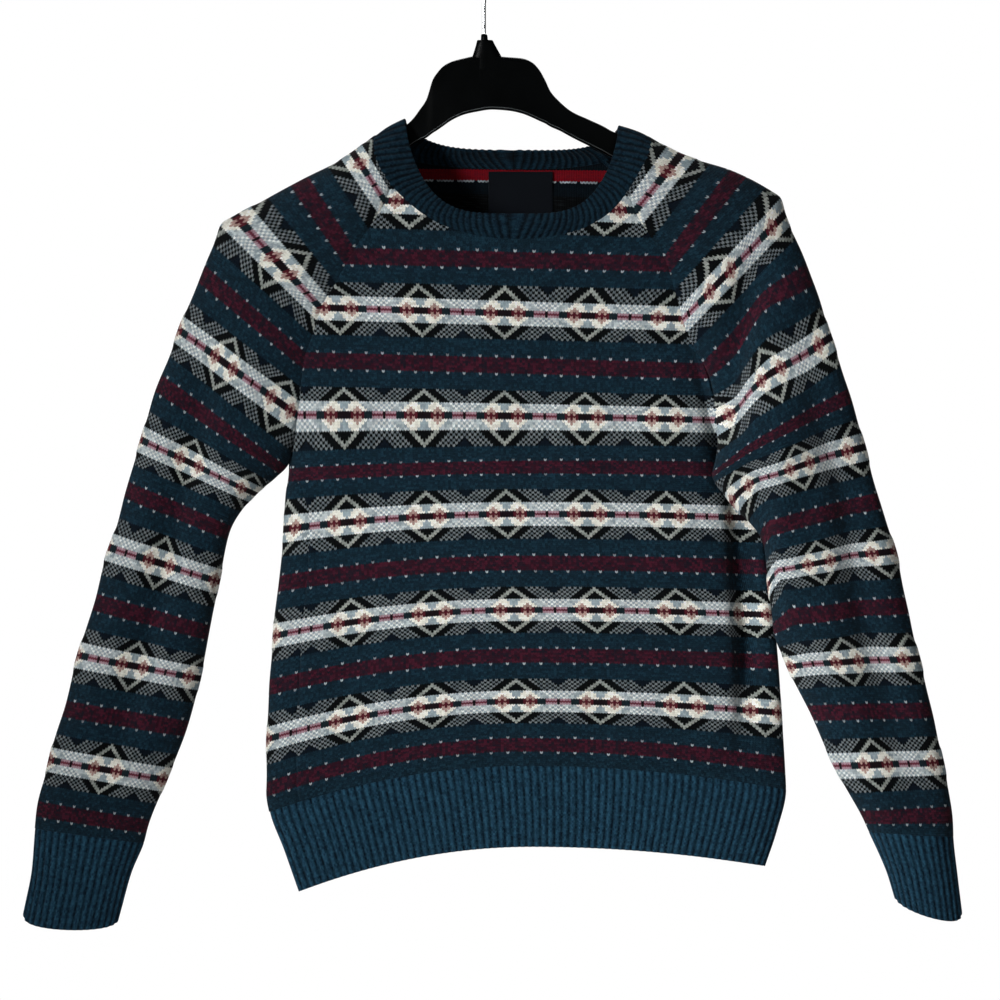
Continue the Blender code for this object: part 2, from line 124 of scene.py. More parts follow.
leftSleeve = table(
    sleeveNames,
    (-302, 430, -869, 368, -851, -8, 17, 0, 0),
    (-282, 426, -837, 361, -831, -8, 19, 0, 0),
    (-262, 422, -802, 346, -798, -8, 23, 0, 0),
    (-253, 421, -782, 340, -785, -8, 25, 0, 0),
    (-230, 413, -735, 314, -738, -9, 27, 0, 0),
    (-207, 402, -688, 293, -691, -10, 28, 0, 0),
    (-184, 391, -642, 272, -649, -12, 29, 0, 0),
    (-161, 380, -594, 260, -615, -16, 30, -8, 8),
    (-138, 369, -545, 259, -580, -15, 31, -20, 20),
    (-115, 355, -500, 258, -537, -16, 32, -30, 30),
    (-92, 341, -452, 235, -494, -15, 32, -42, 42),
    (-77, 331, -418, 227, -474, -17, 32, -48, 48),
    (-62, 322, -387, 226, -459, -16, 32, -52, 52),
    (-46, 312, -353, 211, -428, -20, 33, -14, 55),
    (-23, 293, -297, 199, -384, -26, 35, 25, 62),
    (-12, 281, -266, 189, -361, -28, 35, 42, 66),
    (0, 271, -242, 179, -337, -30, 35, 55, 70),
    (6, 266, -227, 176, -325, -30, 35, 59, 70),
    (11, 255, -219, 172, -312, -30, 34, 62, 70),
    (23, 228, -206, 165, -288, -30, 33, 66, 70),
    (46, 178, -188, 136, -240, -29, 31, 70, 70),
    (58, 149, -173, 126, -213, -28, 29, 70, 70),
    (72, 121, -159, 108, -193, -25, 27, 70, 70),
)
sleeves = {"right": rightSleeve, "left": leftSleeve}

collar = {
    "middleX": 25, "halfWidth": 96, "middleY": -1, "front": 30, "back": 19,
    "sideZ": -159, "tilt": 3, "frontDip": 83, "backDip": 24, "crown": 3, "evening": 200,
    "ribs": 100, "perRib": 8, "stitches": 3, "rows": 14, "relief": 0.8, "under": 0.06,
}

# Where the pattern's middle stitch runs and how wide a stitch is, at each course of the trunk.
gauge = table(
    "course centreX stitch",
    (-256, 29, 2.45), (-218, 29, 2.5), (-184, 29, 2.52), (-138, 27, 2.45),
    (-92, 20.5, 2.4), (-46, 18.5, 2.4), (0, 18.5, 2.5), (19, 19, 2.7),
    (46, 20.5, 3.1), (72, 20.5, 3.1),
)


def smoothCurve(at, places, values):
    # a curve through the values that never swings past them
    step = np.diff(places)
    slope = np.diff(values) / step
    tangent = np.zeros(len(places))
    tangent[0], tangent[-1] = slope[0], slope[-1]
    before, after = slope[:-1], slope[1:]
    agree = before * after > 0
    near, far = 2 * step[1:] + step[:-1], step[1:] + 2 * step[:-1]
    mean = (near + far) / (near / np.where(agree, before, 1) + far / np.where(agree, after, 1))
    tangent[1:-1][agree] = mean[agree]
    i = np.clip(np.searchsorted(places, at) - 1, 0, len(step) - 1)
    t = np.clip((at - places[i]) / step[i], 0, 1)
    return (
        (1 + 2 * t) * (1 - t) ** 2 * values[i]
        + t * (1 - t) ** 2 * step[i] * tangent[i]
        + t * t * (3 - 2 * t) * values[i + 1]
        - t * t * (1 - t) * step[i] * tangent[i + 1]
    )


def rowAt(columns, course):
    return {name: smoothCurve(course, columns["course"], values) for name, values in columns.items()}


def runAlong(points):
    # how far along a line of points each of them lies
    return np.concatenate([[0], np.cumsum(np.linalg.norm(np.diff(points, axis=0), axis=1))])


def pointsAt(where, run, line):
    # the points of a line that lie so far along it
    return np.stack([np.interp(where, run, line[:, k]) for k in range(3)], -1)


def beside(*columns):
    return np.stack(columns, -1)


def signedPower(share, power):
    return np.sign(share) * np.abs(share) ** power


def full(angle):
    return signedPower(np.cos(angle), garment["bodyFullness"])


def angleOf(share):
    return np.arccos(signedPower(np.clip(share, -1, 1), 1 / garment["bodyFullness"]))


def sleevePoint(side, course, across):
    # from the front seam (0) over the outer edge to the back seam (1)
    row = rowAt(sleeves[side], course)
    front = np.radians(row["frontAngle"])
    end = 2 * math.pi - np.radians(row["backAngle"])
    radiusX = (row["seamX"] - row["outerX"]) / (1 + np.cos(front))
    radiusZ = (row["seamZ"] - row["outerZ"]) / (1 + np.cos(front))
    firstHalf = front + (math.pi - front) * 2 * across
    angle = np.where(across < 0.5, firstHalf, end - (end - math.pi) * 2 * (1 - across))
    x = row["outerX"] + radiusX * (1 + np.cos(angle))
    z = row["outerZ"] + radiusZ * (1 + np.cos(angle))
    y = row["seamY"] + row["depth"] * (np.sin(front) - np.sin(angle))
    ribShare = (garment["cuffRibTop"] - course) / (garment["cuffRibTop"] - garment["cuff"])
    z = z - garment["cuffFrontDrop"] * np.maximum(0, np.sin(angle)) ** 0.6 * np.clip(ribShare, 0, 1)
    return beside(x, y, z)


def freeEdge(course, side):
    # a side edge of the trunk where no sleeve holds it, and how far round the ring it lies
    row = rowAt(body, course)
    seam = np.radians(row[side + "Seam"]) * (1 if side == "left" else -1)
    middle, half = (row["leftX"] + row["rightX"]) / 2, (row["leftX"] - row["rightX"]) / 2
    drop = row[side + "Drop"] * np.sin(seam) ** 2
    return beside(middle + half * np.sin(seam), -row["front"] * full(seam), row["middleZ"] - drop), seam


def trunkPoint(course, across, back=False):
    # from the right edge (0) to the left one (1)
    row = rowAt(body, course)
    depth = row["back"] if back else row["front"]
    # below the underarm the edges leave the sleeves' seams over a few courses
    low, high = course < garment["underarm"], np.maximum(course, garment["underarm"])
    joinedShare = (course - garment["sidesFree"]) / (garment["underarm"] - garment["sidesFree"])
    joinedShare = np.clip(joinedShare, 0, 1)
    ends = []
    for side in ("right", "left"):
        (free, seam), (freeHigh, turned) = freeEdge(course, side), freeEdge(high, side)
        joined = sleevePoint(side, high, np.full_like(course, 1.0 if back else 0.0))
        joinedAngle = np.copysign(angleOf(-joined[..., 1] / depth), seam)
        point = np.where(low[..., None], free + (joined - freeHigh) * joinedShare[..., None], joined)
        angle = np.where(low, seam + (joinedAngle - turned) * joinedShare, joinedAngle)
        ends.append((point, angle + 2 * math.pi if back and side == "right" else angle))
    (right, start), (left, end) = ends
    angle = start + (end - start) * across

    def height(angle):
        drop = np.where(np.sin(angle) > 0, row["leftDrop"], row["rightDrop"])
        return row["middleZ"] - drop * np.sin(angle) ** 2

    def depthAt(angle):
        return np.where(np.cos(angle) > 0, row["front"], depth) * full(angle)

    w = (np.sin(angle) - np.sin(start)) / (np.sin(end) - np.sin(start))
    point = right + (left - right) * w[..., None]
    point[..., 1] -= depthAt(angle) - (depthAt(start) * (1 - w) + depthAt(end) * w)
    point[..., 2] += height(angle) - (height(start) * (1 - w) + height(end) * w)
    # the fold is on the front alone, and fades out where a sleeve is joined
    facing = np.minimum(1, 2 * np.maximum(0, full(angle)))
    fade = np.where(low, 1, np.clip(6 * np.minimum(across, 1 - across), 0, 1))
    point[..., 1] += facing * fade * sideFold(point[..., 0], point[..., 2])
    return point


# The deep soft fold down the trunk beside its left seam.
sideCrease = {"footZ": -730, "length": 290, "middleX": 241, "width": 13, "depth": 9}


def sideFold(x, z):
    along = np.clip((z - sideCrease["footZ"]) / sideCrease["length"], 0, 1)
    near = np.exp(-(((x - sideCrease["middleX"]) / sideCrease["width"]) ** 2))
    return sideCrease["depth"] * np.sin(math.pi * along) ** 0.5 * near


def neckCourse(piece, across):
    front, back = garment["frontNeckCorner"], garment["backNeckCorner"]
    if piece == "sleeve":
        return front + (back - front) * across**2
    return garment[piece + "NeckCorner"] - garment[piece + "NeckDrop"] * (1 - (2 * across - 1) ** 2)


def coursesOf(piece, low, across, share):
    # courses up to the yoke's middle, then rows that fan out to meet the collar
    middle, top = garment["yokeMiddle"], garment["gridTop"]
    plain = low + (top - low) * share
    turn = (middle - low) / (top - low)
    fan = (share - turn) / (1 - turn)
    fanned = middle + (neckCourse(piece, across) - middle) * fan
    return np.where(share < turn, plain, fanned)


def backPoint(course, across):
    return trunkPoint(course, 1 - across, back=True)


trunkPoints = {"front": trunkPoint, "back": backPoint}


def readAll(items, attribute, width=3, kind=float):
    flat = np.empty(len(items) * width, kind)
    items.foreach_get(attribute, flat)
    return flat.reshape(-1, width)


def coordinates(mesh):
    return readAll(mesh.vertices, "co") / mm


def directions(mesh):
    return readAll(mesh.vertices, "normal")


def cornersOf(mesh):
    return readAll(mesh.loops, "vertex_index", 1, int)[:, 0]


def stitchesOf(mesh):
    # one pair of stitch coordinates for each vertex
    out = np.zeros((len(mesh.vertices), 2))
    out[cornersOf(mesh)] = readAll(mesh.uv_layers[0].data, "uv", 2)
    return out


def moveTo(made, points):
    made.data.vertices.foreach_set("co", (points * mm).ravel())
    made.data.update()


def pick(made):
    bpy.ops.object.select_all(action="DESELECT")
    made.select_set(True)
    bpy.context.view_layer.objects.active = made


def editWhole(*steps):
    # each step works on all of the active piece's mesh
    bpy.ops.object.mode_set(mode="EDIT")
    for step in steps:
        bpy.ops.mesh.select_all(action="SELECT")
        step()
    bpy.ops.object.mode_set(mode="OBJECT")


def joinDoubles(made):
    pick(made)
    editWhole(lambda: bpy.ops.mesh.remove_doubles(threshold=0.03 * mm))


def turnOutwards():
    bpy.ops.mesh.normals_make_consistent(inside=False)


def newGrid(name, columns, rows, place):
    # a grid primitive whose vertices are put in place by their share across and up it
    bpy.ops.object.select_all(action="DESELECT")
    bpy.ops.mesh.primitive_grid_add(x_subdivisions=columns, y_subdivisions=rows, size=1, calc_uvs=True)
    made = bpy.context.object
    made.name = made.data.name = name
    across, share = np.clip(readAll(made.data.vertices, "co")[:, :2] + 0.5, 0, 1).T
    points, stitches = place(across, share)
    made.data.uv_layers[0].name = "stitches"
    made.data.uv_layers[0].data.foreach_set("uv", stitches[cornersOf(made.data)].ravel())
    moveTo(made, points)
    return made


def modify(made, kind, **settings):
    added = made.modifiers.new("step", kind)
    for key, value in settings.items():
        setattr(added, key, value)
    bpy.ops.object.modifier_apply(modifier=added.name)


def finishCloth(made, wall, roundness, materials, ribs=None):
    for material in materials:
        made.data.materials.append(material)
    pick(made)
    smooth = directions(made.data)
    modify(made, "SOLIDIFY", thickness=wall * mm, offset=-1, material_offset=1, use_even_offset=False)
    if ribs is not None:
        # both faces of the wall follow the ribs, so it stays as thick
        moveTo(made, coordinates(made.data) + np.vstack([smooth, smooth]) * np.tile(ribs, 2)[:, None])
    edgeAngle = math.radians(60)
    modify(made, "BEVEL", width=roundness * mm, segments=2, limit_method="ANGLE", angle_limit=edgeAngle)
    bpy.ops.object.shade_smooth()


def knitName(node):
    # hem_rib_front becomes hemRibFrontKnit
    first, *others = node.split("_")
    return first + "".join(word.capitalize() for word in others) + "Knit"


def handOver(made, node):
    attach(made, "root")
    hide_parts(node)
    print(made.name, len(made.data.polygons), "faces")
    return made


# The back's knitting rides up by a few courses where the collar holds it.
rise = {"from": 30, "over": 24, "courses": 7.2, "power": 1.5}


def neckRise(course):
    return rise["courses"] * np.clip((course - rise["from"]) / rise["over"], 0, 1) ** rise["power"]


# Span is a piece's usual width. Plump bands and waves grow from nothing at the seams, the faster the
# higher plumpIn and wavesIn are.
panelGrid = {
    "columns": 156, "rows": {"front": 236, "back": 236}, "span": 420, "bandPlump": 0.5, "plumpIn": 40,
    "waviness": 0.9, "wavesIn": 12, "seed": 0,
}
sleeveGrid = {
    "columns": 110, "rows": {"right": 294, "left": 300}, "span": 260, "bandPlump": 1.1, "plumpIn": 36,
    "waviness": 0.8, "wavesIn": 9, "seed": 11, "under": 0.012, "underCourses": 8, "courseHeight": 2.1,
}
seamEdge = {"dip": 0.9, "width": 2.2}


def rowByRow(across, share, points, columns, rows, weights=1):
    # the order that makes rows of a grid's points, those rows, and how far along its row each lies
    order = np.lexsort((across.round(6), share.round(6)))
    grid = points[order].reshape(rows + 1, columns + 1, 3)
    step = np.linalg.norm(np.diff(grid * weights, axis=1), axis=2)
    run = np.concatenate([np.zeros((rows + 1, 1)), np.cumsum(step, axis=1)], axis=1)
    return order, grid, run


def panelPlacer(piece):
    columns, rows = panelGrid["columns"], panelGrid["rows"][piece]

    def place(across, share):
        course = coursesOf(piece, garment["hemRibTop"], across, share)
        points = trunkPoints[piece](course, across)
        order, grid, run = rowByRow(across, share, points, columns, rows)
        out = beside(course, course)
        for i, rowCourse in enumerate(course[order].reshape(run.shape)):
            at = rowAt(gauge, rowCourse)
            turn = 1 if grid[i, -1, 0] > grid[i, 0, 0] else -1
            centre = np.interp(at["centreX"][columns // 2], grid[i, ::turn, 0], run[i, ::turn])
            run[i] = (run[i] - centre) / at["stitch"]
        out[order, 0] = run.ravel()
        if piece == "back":
            out[:, 1] += neckRise(course)
        return points, out

    return place


# How far in from a sleeve's outer edge its first diamond lies and how wide a stitch is. On the left one
# also how far the knitting is pulled up where the sleeve folds, and how far in.
sleeveGauge = {
    "right": table(
        "course start stitch",
        (-302, -8, 1.95), (-230, -9, 2.07), (-184, -9.5, 2.04), (-138, -11.5, 2.03),
        (-92, -11, 2.05), (-46, -10, 2.1), (0, -2, 2.2), (72, 8, 2.4),
    ),
    "left": table(
        "course start stitch lift liftAt",
        (-302, 0, 1.95, 0, 0.8), (-230, 1, 2.07, 0, 0.8), (-184, 5, 2.04, 2, 0.8),
        (-161, 8, 2.03, 8, 0.8), (-138, 11, 2.02, 21, 0.79), (-115, 8, 1.97, 15, 0.77),
        (-92, 5.5, 1.93, 12, 0.58), (-62, 5, 2.03, 8, 0.52), (-46, 4.5, 2.11, 7, 0.5),
        (-23, 5, 2.4, 2, 0.5), (0, 6.5, 2.68, 0, 0.5), (72, 12, 2.7, 0, 0.6),
    ),
}

# Where the left sleeve's knitting is pulled out of line: at which course, how far in from the outer
# edge (0 to 1), over how many courses and what share, and how far up.
pulls = (
    (-23, 0.55, 10, 0.3, 10),
    (-69, 1.0, 10, 0.4, 16),
    (-69, 0.0, 10, 0.3, -6),
    (-92, 1.0, 14, 0.25, -10),
)


def sleevePlacer(side):
    columns, rows = sleeveGrid["columns"], sleeveGrid["rows"][side]

    def place(across, share):
        course = coursesOf("sleeve", garment["cuffRibTop"], across, share)
        # above the underarm the seam's edges run on under the front and the back
        under = np.clip((course - garment["underarm"]) / sleeveGrid["underCourses"], 0, 1)
        points = sleevePoint(side, course, across + sleeveGrid["under"] * under * (2 * across - 1))
        # the knitting lies flat, so depth hardly counts in a stitch's width
        order, _, run = rowByRow(across, share, points, columns, rows, (1, 0.25, 1))
        inRows = course[order].reshape(run.shape)
        at = rowAt(sleeveGauge[side], inRows)
        fromEdge = run - run[:, [columns // 2]]
        out = beside(course, course)
        out[order, 0] = ((fromEdge + at["start"]) / at["stitch"]).ravel()
        if side == "left":
            # the share of the way from the outer edge to the seam, for the pull at the fold
            inward = np.clip(1 - 2 * across[order].reshape(run.shape), 0, 1)
            inward = (1 - np.cos(math.pi * inward)) / 2
            liftAt = at["liftAt"]
            up = at["lift"] * np.where(inward < liftAt, inward / liftAt, (1 - inward) / (1 - liftAt))
            for middle, middleIn, courses, share, most in pulls:
                away = ((inRows - middle) / courses) ** 2 + ((inward - middleIn) / share) ** 2
                up += most * np.exp(-away)
            out[order, 1] -= up.ravel() / sleeveGrid["courseHeight"]
        out[:, 1] += neckRise(course) * np.clip(2 * across - 1, 0, 1)
        return points, out

    return place


def creaseRelief(points, rows):
    relief = np.zeros(len(points))
    seen = points[:, [0, 2]]
    for depth, width, corners in rows:
        path = np.array(corners, float)
        lengths = runAlong(path)
        best = np.full(len(points), 1e9)
        along = np.zeros(len(points))
        for i in range(len(path) - 1):
            leg = path[i + 1] - path[i]
            t = np.clip(((seen - path[i]) @ leg) / leg.dot(leg), 0, 1)
            away = np.linalg.norm(seen - path[i] - t[:, None] * leg, axis=1)
            nearer = away < best
            best[nearer] = away[nearer]
            along[nearer] = (lengths[i] + t * (lengths[i + 1] - lengths[i]))[nearer]
        fade = np.sin(math.pi * np.clip(along / lengths[-1], 0, 1)).clip(0, 1) ** 0.6
        relief += depth * fade * np.exp(-((best / width) ** 2))
    return relief


# A slow, soft waviness, as wool that has been worn and washed has.
waves = {"count": 9, "shortest": 45, "longest": 120, "lean": 0.02}


def unevenness(points, seed, height):
    rng = np.random.default_rng(seed)
    relief = np.zeros(len(points))
    for _ in range(waves["count"]):
        wave = rng.uniform(waves["shortest"], waves["longest"])
        turn = rng.uniform(0, math.pi)
        phase = rng.uniform(0, 2 * math.pi)
        along = points[:, 0] * math.cos(turn) + points[:, 2] * math.sin(turn)
        relief += np.sin(2 * math.pi * along / wave + phase + points[:, 1] * waves["lean"])
    return relief * height / 4


def colour(code):
    # a web colour as the shader's linear one
    parts = [int(code[i:i + 2], 16) / 255 for i in (1, 3, 5)]
    return tuple(p / 12.92 if p < 0.04045 else ((p + 0.055) / 1.055) ** 2.4 for p in parts) + (1.0,)


def nodeMath(operation, swapped=False):
    return lambda self, other: self.math(operation, *((other, self) if swapped else (self, other)))


class Wire:
    # a socket that sums, products and comparisons turn into Math nodes
    def __init__(self, finish, socket):
        self.finish, self.socket = finish, socket

    def math(self, operation, *values):
        return self.finish.node("Math", {"operation": operation}, dict(enumerate(values)))

    def __abs__(self):
        return self.math("ABSOLUTE", self)

    def floor(self):
        return self.math("FLOOR", self)

    __add__ = __radd__ = nodeMath("ADD")
    __sub__ = nodeMath("SUBTRACT")
    __rsub__ = nodeMath("SUBTRACT", swapped=True)
    __mul__ = __rmul__ = nodeMath("MULTIPLY")
    __pow__ = nodeMath("POWER")
    __lt__ = nodeMath("LESS_THAN")
    __gt__ = nodeMath("GREATER_THAN")
    __and__ = nodeMath("MULTIPLY")
    __or__ = nodeMath("MAXIMUM")
    fold = nodeMath("PINGPONG")  # counts up to a half width and back down again, over and over


class Finish:
    def __init__(self, name, roughness, **uniform):
        self.material = bpy.data.materials.new(name)
        self.material.use_nodes = True
        self.tree = self.material.node_tree
        self.shader = self.tree.nodes["Principled BSDF"]
        self.shader.inputs["Roughness"].default_value = roughness
        for socket, value in uniform.items():
            self.shader.inputs[socket.replace("_", " ")].default_value = value

    def node(self, kind, settings, inputs, output=0):
        made = self.tree.nodes.new("ShaderNode" + kind)
        for key, value in settings.items():
            setattr(made, key, value)
        for key, value in inputs.items():
            if isinstance(value, Wire):
                self.tree.links.new(value.socket, made.inputs[key])
            else:
                made.inputs[key].default_value = value
        return Wire(self, made.outputs[output])

    def mix(self, amount, *paints, blend="MIX"):
        # a paint is a wire, a colour or the name of a yarn
        first, second = (yarn[paint] if isinstance(paint, str) else paint for paint in paints)
        settings = {"data_type": "RGBA", "blend_type": blend}
        return self.node("Mix", settings, {0: amount, 6: first, 7: second}, 2)

    def layers(self, paint, *over):
        # each pair is where a paint lies over those before it, and that paint
        for where, upper in over:
            paint = self.mix(where, paint, upper)
        return paint

    # the paint darkened by an amount; for the knit and ribs that amount holds their painted shade
    def shaded(self, paint, amount):
        tone = self.node("CombineColor", {}, {0: amount, 1: amount, 2: amount})
        return self.mix(1.0, paint, tone, blend="MULTIPLY")

    def noise(self, vector, scale, detail=2.0, roughness=0.5):
        inputs = {"Vector": vector, "Scale": scale, "Detail": detail, "Roughness": roughness}
        return self.node("TexNoise", {"noise_dimensions": "3D"}, inputs, "Fac")

    def place(self, x=0.0, y=0.0, z=0.0):
        return self.node("CombineXYZ", {}, {0: x, 1: y, 2: z})

    def stitches(self):
        uv = self.node("UVMap", {"uv_map": "stitches"}, {})
        return [self.node("SeparateXYZ", {}, {0: uv}, axis) for axis in (0, 1)]

    # puts the paint on the shader, with the painted shade it carries for the knit and ribs, and a bump from
    # the height
    def paintWithBump(self, paint, height, distance, strength):
        inputs = {"Height": height, "Distance": distance, "Strength": strength}
        bump = self.node("Bump", {}, inputs)
        self.tree.links.new(paint.socket, self.shader.inputs["Base Color"])
        self.tree.links.new(bump.socket, self.shader.inputs["Normal"])


yarn = {
    "teal": "#112530", "tealLight": "#224559", "tealDark": "#0c1b25",
    "maroon": "#361523", "maroonBright": "#581a2c", "maroonDark": "#1d1d29",
    "cream": "#fffcf0", "white": "#e6eae8", "grey": "#c9d1d2", "blueGrey": "#9fafb6",
    "outline": "#969d97", "outlineLight": "#b2b7b0", "check": "#939b9e", "checkDark": "#5e686e",
    "charcoal": "#080e11", "black": "#030506", "navy": "#0a1520", "tan": "#b7988e", "pink": "#ac8b96",
    "spineRed": "#571c26", "spinePink": "#6b2e3d", "spineTeal": "#16242a", "spineDark": "#170e13",
    "dot": "#cdd9df", "rib": "#132e41", "ribLight": "#2b556c", "insideRed": "#c0182a",
    "label": "#04070b", "labelEdge": "#0a1018",
}
yarn = {name: colour(code) for name, code in yarn.items()}


def stitchShape(u, v, lean=0.55):
    # which stitch a place is in, and how high the two legs of its V stand there
    shifted = u + 0.5
    column = shifted.floor()
    inStitch = shifted - column
    leg = abs(inStitch - 0.5) * 2
    slanted = v - leg * lean + 0.5 + lean / 2
    row = slanted.floor()
    inRow = slanted - row
    legRound = 1 - abs(leg * 2 - 1) ** 2.0
    rowRound = 1 - abs(inRow * 2 - 1) ** 2.0
    return column, row, legRound * (0.45 + 0.55 * rowRound)


def fleck(finish, column, row, salt):
    where = finish.place(column, row, salt)
    return finish.node("TexWhiteNoise", {"noise_dimensions": "3D"}, {"Vector": where}, "Value")


wool = {"roughness": 0.95, "Sheen_Weight": 0.03, "Sheen_Roughness": 0.5, "Specular_IOR_Level": 0.08}

# One repeat of the pattern, as so many stitches or courses away from its middle.
chart = {
    "halfWidth": 15, "halfHeight": 23, "band": 11.5, "light": 5.5, "line": 1.5,
    "diamond": 10.5, "checks": 14.5, "stripe": 19.5, "dotEvery": 3,
}
# How light the yarn is and how much it varies from stitch to stitch, with painted shade down between a
# stitch's legs and over the whole wrong side (its dots get less).
knitShade = {
    "dark": 0.62, "leg": 0.4, "uneven": 0.2, "fibre": 0.3, "lightBand": 0.14, "unevenLight": 0.2,
    "inside": 0.45, "insideDots": 0.5, "floats": 0.15,
}


def knitFinish(name, inside=False):
    finish = Finish(name, **wool)
    u, v = finish.stitches()
    column, row, height = stitchShape(u, v)
    dx, dy = column.fold(chart["halfWidth"]), row.fold(chart["halfHeight"])
    both, toEnd = dx + dy, chart["halfWidth"] - dx
    chance = fleck(finish, column, row, 1.5)
    fibres = finish.noise(finish.place(u * 1.3, v * 1.1, 0.0), 1.7, 3.0, 0.6)
    inLight = dy < chart["light"]

    # plain ground, heathered, the stripe and the row of dots on each side of it
    ground = finish.mix(chance * 0.5 + (fibres - 0.5) * 0.9, "teal", "tealLight")
    ground = finish.mix(((chance > 0.66) & (chance < 0.84)) * 0.6, ground, "tealDark")
    stripe = finish.mix(chance * 0.8, "maroonDark", "maroonBright")
    stripe = finish.mix((chance > 0.4) & (chance < 0.7), stripe, "maroon")
    dotRow = (dy > chart["stripe"] - 1) & (dy < chart["stripe"])
    dots = dotRow & (column.fold(chart["dotEvery"]) > chart["dotEvery"] - 0.5)

    # the patterned band: its dark part, then the light part and the line along its middle
    even = (column + row).fold(1) < 0.5
    gap = toEnd < (dy - 8)
    band = finish.layers(
        finish.mix(chance * 0.6, "black", "charcoal"),
        (gap, "navy"),
        ((both > chart["checks"]) & even & (1 - gap), finish.mix(chance, "check", "checkDark")),
        (abs(both - chart["diamond"]) < 1, finish.mix(chance, "outline", "outlineLight")),
    )
    light = finish.layers(
        finish.mix(even, "white", "blueGrey"),
        (both < chart["checks"], finish.mix(chance, "blueGrey", "grey")),
        (both < chart["diamond"], finish.mix(chance * 0.4, "cream", "white")),
        ((dx * 2) < (dy - 0.5), "blueGrey"),
        ((abs(dx - 5) + dy) < 3.5, "tan"),
    )
    centre = dy < 0.5
    line = finish.layers(
        finish.mix(dx < 9.5, "grey", "cream"),
        (dx < 7.5, finish.mix(centre | even, "tan", "spineRed")),
        (dx > 10.5, finish.mix(centre, "pink", "spinePink")),
        ((dx > 7.5) & (dx < 10.5), "spineTeal"),
        (dx < 2.5, "spineDark"),
        (toEnd < 0.5, "spineDark"),
    )
    band = finish.layers(band, (inLight, light), (dy < chart["line"], line))

    if inside:
        # the wrong side: floats of the yarn that isn't in use, mostly the dark one
        floats = finish.noise(finish.place(u * 0.22, v * 1.6, 3.0), 1.0, 1.0)
        stripe = finish.mix(chance * 0.5, "insideRed", "maroonBright")
        repeats = row * (1 / (2 * chart["halfHeight"]))
        betweenDots = column.fold(chart["dotEvery"]) < chart["dotEvery"] - 0.5
        dots = dotRow & betweenDots & (repeats - repeats.floor() < 0.5)  # only the lower row shows
        shown = ((floats > 0.6) & (dy > chart["line"])) * knitShade["floats"]
        band = finish.mix(shown, "charcoal", "checkDark")
        ground = finish.mix(chance * 0.5, "tealDark", "teal")
    paint = finish.layers(
        ground, (dy > chart["stripe"], stripe), (dots, finish.mix(chance * 0.7, "dot", "teal")),
        (dy < chart["band"], band),
    )
    # painted shade: the yarn is darker down between the legs, where shade falls, and it is uneven from
    # stitch to stitch
    uneven = knitShade["uneven"] + inLight * knitShade["unevenLight"]
    shade = knitShade["dark"] + height * knitShade["leg"] + (chance - 0.5) * uneven
    shade = shade + (fibres - 0.5) * knitShade["fibre"] + inLight * knitShade["lightBand"]
    # painted shade: the whole wrong side, seen in the hollow of the neck, is darkened, the dot row below
    # the stripe much less
    if inside:
        shade = shade * (knitShade["inside"] + dots * knitShade["insideDots"])
    finish.paintWithBump(finish.shaded(paint, shade), height + fibres * 0.35, 0.0007, 0.8)
    return finish.material


# How light the rib yarn is, with painted shade between a stitch's legs and down in the channel between
# ribs, and how much it varies from stitch to stitch.
ribShade = {"high": 0.84, "leg": 0.16, "fibre": 0.4, "uneven": 0.2, "channel": 0.66, "narrow": 1.7}


# light scales a whole copy of the rib yarn: the collar's copy is darkened with it as painted shade
def ribFinish(name, period, light):
    finish = Finish(name, **wool)
    u, v = finish.stitches()
    column, row, height = stitchShape(u, v)
    chance = fleck(finish, column, row, 4.5)
    streak = fleck(finish, column, (row * 0.35).floor(), 6.5)
    fibres = finish.noise(finish.place(u * 1.6, v * 0.5, 0.0), 1.9, 3.0, 0.6)
    paint = finish.mix(chance * 0.5 + streak * 0.35 + (fibres - 0.5) * 0.9, "rib", "ribLight")
    turn = u * (2 * math.pi / period)
    # painted shade: darker down in the channel between the ribs, and between a stitch's legs
    channel = (0.5 - 0.5 * turn.math("COSINE", turn)) ** ribShade["narrow"]
    shade = ribShade["high"] + height * ribShade["leg"] + (fibres - 0.5) * ribShade["fibre"]
    shade = light * (shade + (chance - 0.5) * ribShade["uneven"] - channel * ribShade["channel"])
    finish.paintWithBump(finish.shaded(paint, shade), height * 0.6 + fibres * 0.35, 0.0006, 0.8)
    return finish.material


def plasticFinish(name, dark, light):
    finish = Finish(name, 0.38, Specular_IOR_Level=0.05)
    at = finish.node("TexCoord", {}, {}, "Object")
    cloudy = finish.noise(at, 60.0, 3.0)
    grain = finish.noise(at, 1800.0, 2.0)
    paint = finish.mix(cloudy, colour(dark), colour(light))
    finish.paintWithBump(paint, grain, 0.00003, 0.5)
    gloss = cloudy * 0.14 + 0.3
    finish.tree.links.new(gloss.socket, finish.shader.inputs["Roughness"])
    return finish.material


def steelFinish():
    finish = Finish("hookWire", 0.22, Metallic=1.0)
    at = finish.node("TexCoord", {}, {}, "Object")
    drawn = finish.noise(at, 900.0, 2.0)
    paint = finish.mix(drawn, colour("#8d9092"), colour("#c9ccce"))
    finish.paintWithBump(paint, drawn, 0.00002, 0.4)
    return finish.material


def labelFinish():
    finish = Finish("labelWeave", 0.7, Specular_IOR_Level=0.08)
    u, v = finish.stitches()
    across = abs((u * 0.5).fold(0.5) * 2 - 0.5)
    up = abs((v * 0.5).fold(0.5) * 2 - 0.5)
    cloudy = finish.noise(finish.place(u, v, 0.0), 0.3, 2.0)
    paint = finish.mix(cloudy, "label", "labelEdge")
    finish.paintWithBump(paint, across + up, 0.0001, 0.6)
    return finish.material


knitOutside = knitFinish("knitOutside")
knitInside = knitFinish("knitInside", inside=True)
plastic = plasticFinish("hangerPlastic", "#010202", "#030506")
# painted highlight: a lighter grey plastic for the thin slope above the rim, where light from above catches
# it
rimPaintedHighlight = plasticFinish("hangerRimPaintedHighlight", "#3c4041", "#565b5c")
steel = steelFinish()
labelWeave = labelFinish()
print("finishes made")


